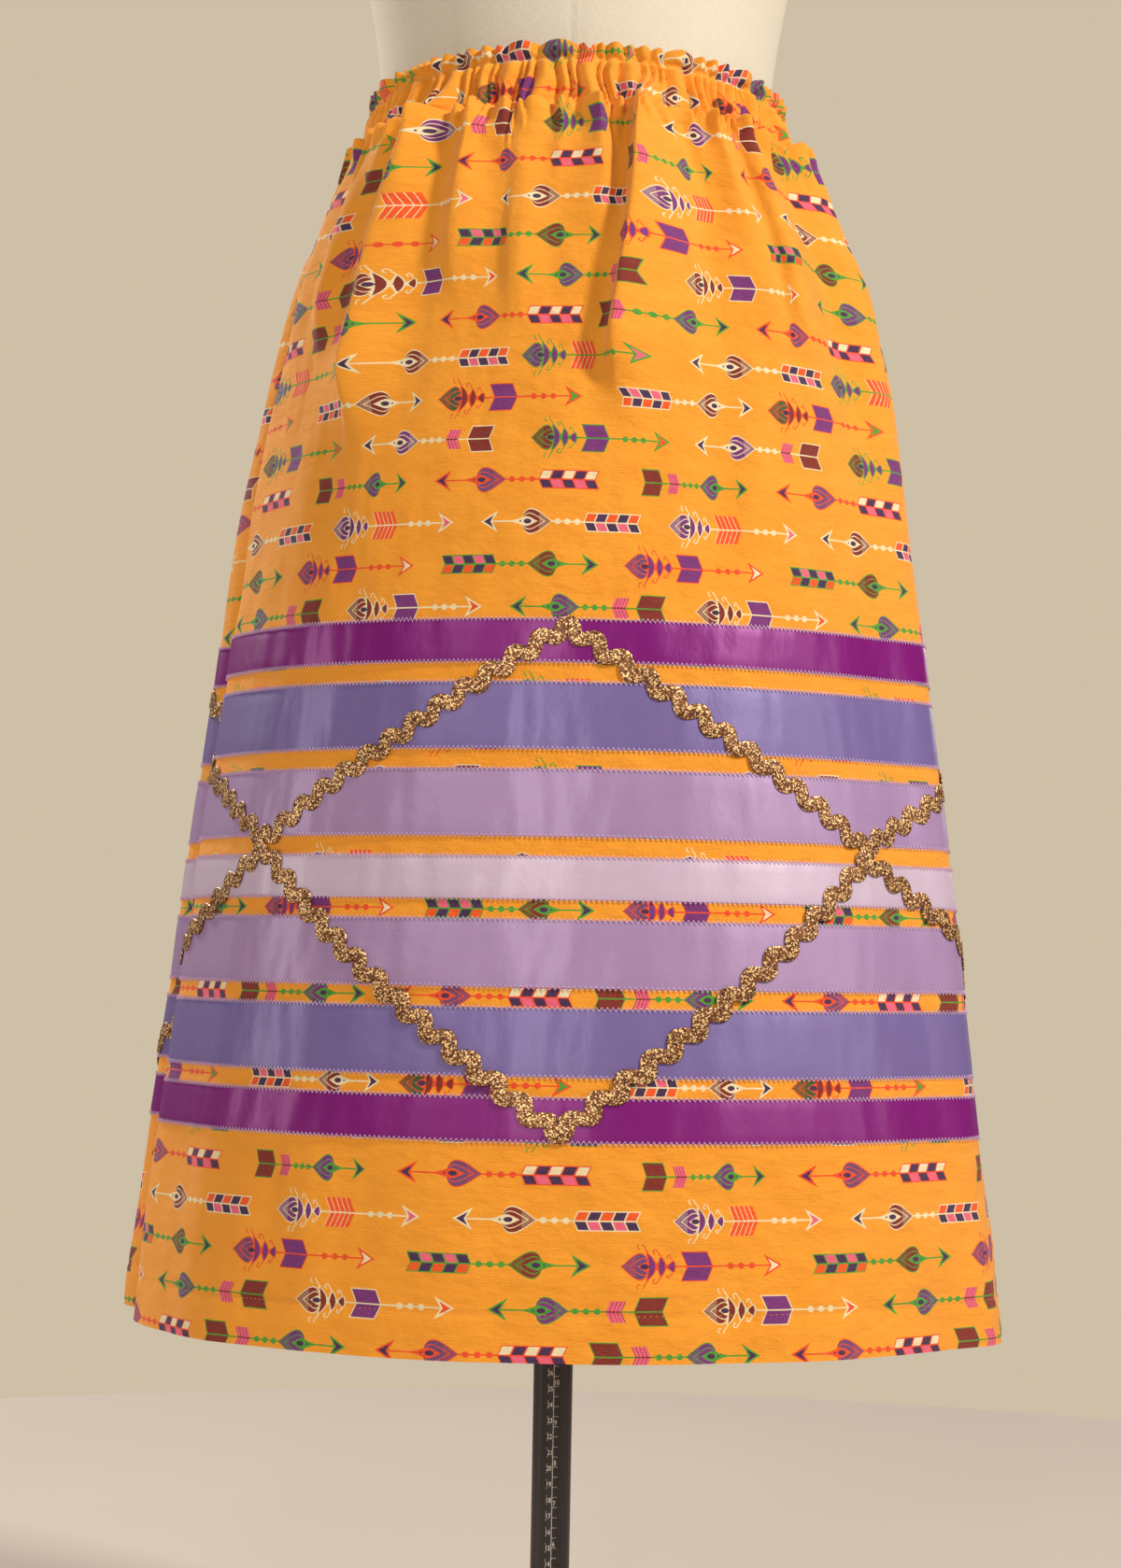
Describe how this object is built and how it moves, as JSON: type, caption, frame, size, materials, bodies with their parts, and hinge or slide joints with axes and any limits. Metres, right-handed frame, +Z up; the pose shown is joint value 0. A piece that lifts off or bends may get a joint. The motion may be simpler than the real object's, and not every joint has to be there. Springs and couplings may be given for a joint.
{
  "type": "ribbon skirt on a limbless dress form stand",
  "caption": "Gathered cotton skirt with satin ribbons and rickrack diamonds, worn by a limbless dress form that slides on a ruled pole with a round foot.",
  "frame": {"origin": "on the floor, at the pole's axis, in the middle of the foot's flat underside", "axes": "+Z up along the pole, -Y out of the skirt's front, +X to the right as seen from the front"},
  "size_m": [0.5553, 0.394, 1.5236],
  "materials": {
    "orange_cotton": "matt printed cotton",
    "purple_satin": "satin",
    "blue_violet_satin": "satin",
    "lilac_satin": "satin",
    "pale_lilac_satin": "satin",
    "gold_rickrack": "metallic glitter",
    "form_linen": "matt linen cover",
    "cap_wood": "satin varnish",
    "black_metal": "satin black paint"
  },
  "bodies": {
    "stand": {"foot": "black_metal", "pole": "black_metal"},
    "form": {"form_body": "form_linen", "neck_cap": "cap_wood", "sleeve": "black_metal", "thumb_screw": "black_metal", "skirt_front": "orange_cotton", "skirt_back": "orange_cotton", "ribbon_1_purple": "purple_satin", "ribbon_2_blue_violet": "blue_violet_satin", "ribbon_3_lilac": "lilac_satin", "ribbon_4_pale_lilac": "pale_lilac_satin", "ribbon_5_lilac": "lilac_satin", "ribbon_6_blue_violet": "blue_violet_satin", "ribbon_7_purple": "purple_satin", "rickrack_upper": "gold_rickrack", "rickrack_lower": "gold_rickrack"}
  },
  "joints": [
    {"name": "form_height", "type": "slide", "parent": "stand", "child": "form", "axis": [0, 0, 1], "range_m": [-0.12, 0.15]}
  ]
}
